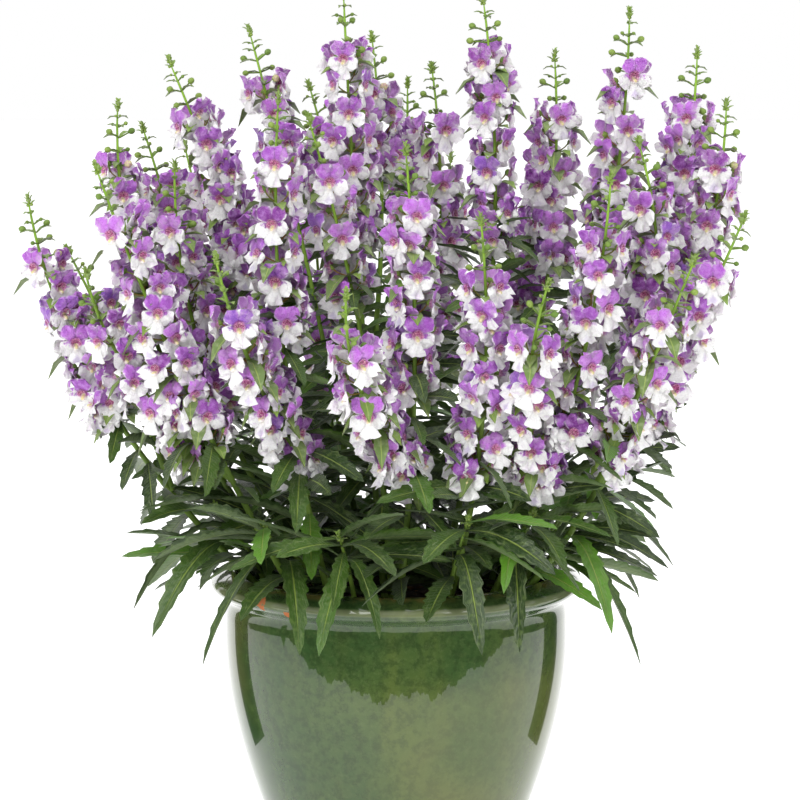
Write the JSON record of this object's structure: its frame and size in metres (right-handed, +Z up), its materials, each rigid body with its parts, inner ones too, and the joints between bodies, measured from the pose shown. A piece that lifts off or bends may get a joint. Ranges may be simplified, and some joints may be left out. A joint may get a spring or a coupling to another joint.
{
  "type": "potted angelonia",
  "caption": "Bushy angelonia with upright spikes of violet and white lobed florets and toothed leaves, growing in a glazed pot with a flared round lip.",
  "frame": {"origin": "centre of the pot's foot, in the plane that the pot stands on", "axes": "+Z up along the pot's axis; -Y towards the front of the plant; +X to the viewer's right from the front"},
  "size_m": [0.4752, 0.3846, 0.605],
  "materials": {
    "glaze": "deep green gloss glaze",
    "mix": "loose dark bark and peat",
    "flowers": "violet and white petals on green stems",
    "leaves": "green leaves with a soft sheen"
  },
  "bodies": {
    "root": {"pot": "glaze", "potting_mix": "mix", "flower_stem_1": "flowers", "flower_stem_2": "flowers", "flower_stem_3": "flowers", "flower_stem_4": "flowers", "flower_stem_5": "flowers", "flower_stem_6": "flowers", "flower_stem_7": "flowers", "flower_stem_8": "flowers", "flower_stem_9": "flowers", "flower_stem_10": "flowers", "flower_stem_11": "flowers", "flower_stem_12": "flowers", "flower_stem_13": "flowers", "flower_stem_14": "flowers", "flower_stem_15": "flowers", "flower_stem_16": "flowers", "flower_stem_17": "flowers", "flower_stem_18": "flowers", "flower_stem_19": "flowers", "flower_stem_20": "flowers", "flower_stem_21": "flowers", "leafy_shoot_1": "leaves", "leafy_shoot_2": "leaves", "leafy_shoot_3": "leaves", "leafy_shoot_4": "leaves", "leafy_shoot_5": "leaves", "leafy_shoot_6": "leaves", "leafy_shoot_7": "leaves", "leafy_shoot_8": "leaves", "leafy_shoot_9": "leaves", "leafy_shoot_10": "leaves"}
  },
  "joints": []
}
